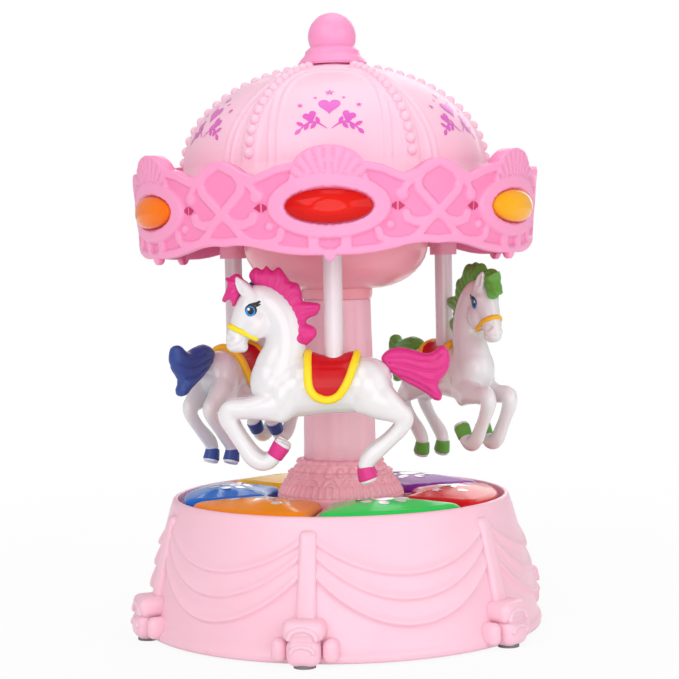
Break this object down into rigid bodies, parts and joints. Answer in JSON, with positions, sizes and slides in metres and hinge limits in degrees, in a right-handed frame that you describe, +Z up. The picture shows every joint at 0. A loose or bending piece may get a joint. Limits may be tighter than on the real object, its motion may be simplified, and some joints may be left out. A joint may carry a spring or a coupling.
{
  "type": "carousel music box",
  "caption": "Toy carousel music box: pink drum with sprung press pads, fluted column and a turning canopy that carries galloping horses on poles.",
  "frame": {"origin": "on the spin axis, at the underside of the foot pads", "axes": "+Z up along the spin axis, -Y towards the front panel of the drum seen in the picture, +X to its right"},
  "size_m": [0.2056, 0.2126, 0.3002],
  "materials": {
    "pink_shell": "gloss",
    "pale_pink": "gloss",
    "column_pink": "gloss",
    "deep_pink": "satin",
    "deck_white": "gloss",
    "white_plastic": "gloss",
    "steel": "satin",
    "nickel": "gloss",
    "cell_jacket": "satin",
    "rubber_feet": "matte",
    "board": "satin",
    "led_lens": "clear",
    "silicone": "satin",
    "black_plastic": "satin",
    "bush": "satin",
    "gear_housing": "satin",
    "gear_plastic": "satin",
    "red_clear": "gloss",
    "yellow_clear": "gloss",
    "orange_clear": "gloss",
    "magenta_vinyl": "satin",
    "green_vinyl": "satin",
    "navy_vinyl": "satin",
    "saddle_red": "satin",
    "pad_orange": "gloss",
    "pad_green": "gloss",
    "pad_red": "gloss",
    "pad_purple": "gloss",
    "pad_yellow": "gloss",
    "pad_blue": "gloss"
  },
  "bodies": {
    "base": {"base_shell": "pink_shell", "bottom_plate": "pink_shell", "battery_door": "pink_shell", "battery_door_screw": "steel", "batteries": "cell_jacket", "battery_contacts": "nickel", "foot_pads": "rubber_feet", "base_screws": "steel", "pad_deck": "deck_white", "circuit_board": "board", "board_leds": "led_lens", "board_screws": "steel", "key_domes": "silicone", "switch_body": "black_plastic", "speaker": "black_plastic", "pedestal": "pink_shell", "column": "column_pink", "column_screws": "steel", "bell": "pink_shell", "shaft_bushes": "bush", "gearbox_base": "gear_housing", "gearbox_cover": "gear_housing", "gearbox_screws": "steel", "idler_axles": "steel", "motor": "steel"},
    "carousel": {"main_gear": "gear_plastic", "drive_shaft": "steel", "canopy_hub": "pink_shell", "canopy_floor": "deep_pink", "canopy_screws": "steel", "pole_sockets": "deep_pink", "poles": "white_plastic", "canopy_crown": "pink_shell", "red_gems": "red_clear", "yellow_gems": "yellow_clear", "orange_gems": "orange_clear", "canopy_dome": "pale_pink", "finial": "pink_shell", "horse_1_body": "white_plastic", "horse_1_mane": "magenta_vinyl", "horse_1_tail": "magenta_vinyl", "horse_1_saddle": "saddle_red", "horse_2_body": "white_plastic", "horse_2_mane": "green_vinyl", "horse_2_tail": "green_vinyl", "horse_2_saddle": "saddle_red", "horse_3_body": "white_plastic", "horse_3_mane": "navy_vinyl", "horse_3_tail": "navy_vinyl", "horse_3_saddle": "saddle_red"},
    "motor_rotor": {"motor_pinion": "bush"},
    "idler_1": {"idler_gear_1": "gear_plastic"},
    "idler_2": {"idler_gear_2": "gear_plastic"},
    "switch": {"switch_knob": "black_plastic"},
    "pad_1_orange": {"pad_1_orange": "pad_orange"},
    "pad_2_green": {"pad_2_green": "pad_green"},
    "pad_3_red": {"pad_3_red": "pad_red"},
    "pad_4_purple": {"pad_4_purple": "pad_purple"},
    "pad_5_yellow": {"pad_5_yellow": "pad_yellow"},
    "pad_6_blue": {"pad_6_blue": "pad_blue"}
  },
  "joints": [
    {"name": "carousel_spin", "type": "hinge", "parent": "base", "child": "carousel", "pos_m": [0, 0, 0], "axis": [0, 0, 1], "continuous": true},
    {"name": "idler_2_spin", "type": "hinge", "parent": "base", "child": "idler_2", "pos_m": [0.02, 0, 0], "axis": [0, 0, 1], "continuous": true},
    {"name": "idler_1_spin", "type": "hinge", "parent": "base", "child": "idler_1", "pos_m": [0.02, 0.02, 0], "axis": [0, 0, 1], "continuous": true},
    {"name": "motor_spin", "type": "hinge", "parent": "base", "child": "motor_rotor", "pos_m": [0.04, 0.02, 0], "axis": [0, 0, 1], "continuous": true},
    {"name": "switch_slide", "type": "slide", "parent": "base", "child": "switch", "axis": [1, 0, 0], "range_m": [0, 0.004]},
    {"name": "pad_1_press", "type": "slide", "parent": "base", "child": "pad_1_orange", "axis": [0, 0, -1], "range_m": [0, 0.0018], "stiffness_N_per_m": 300, "springref_m": -0.002, "deforming": ["key_domes"]},
    {"name": "pad_2_press", "type": "slide", "parent": "base", "child": "pad_2_green", "axis": [0, 0, -1], "range_m": [0, 0.0018], "stiffness_N_per_m": 300, "springref_m": -0.002},
    {"name": "pad_3_press", "type": "slide", "parent": "base", "child": "pad_3_red", "axis": [0, 0, -1], "range_m": [0, 0.0018], "stiffness_N_per_m": 300, "springref_m": -0.002},
    {"name": "pad_4_press", "type": "slide", "parent": "base", "child": "pad_4_purple", "axis": [0, 0, -1], "range_m": [0, 0.0018], "stiffness_N_per_m": 300, "springref_m": -0.002},
    {"name": "pad_5_press", "type": "slide", "parent": "base", "child": "pad_5_yellow", "axis": [0, 0, -1], "range_m": [0, 0.0018], "stiffness_N_per_m": 300, "springref_m": -0.002},
    {"name": "pad_6_press", "type": "slide", "parent": "base", "child": "pad_6_blue", "axis": [0, 0, -1], "range_m": [0, 0.0018], "stiffness_N_per_m": 300, "springref_m": -0.002}
  ],
  "couplings": [
    {"joint": "idler_2_spin", "follows": "carousel_spin", "ratio": -4},
    {"joint": "idler_1_spin", "follows": "carousel_spin", "ratio": 16},
    {"joint": "motor_spin", "follows": "carousel_spin", "ratio": -64}
  ]
}
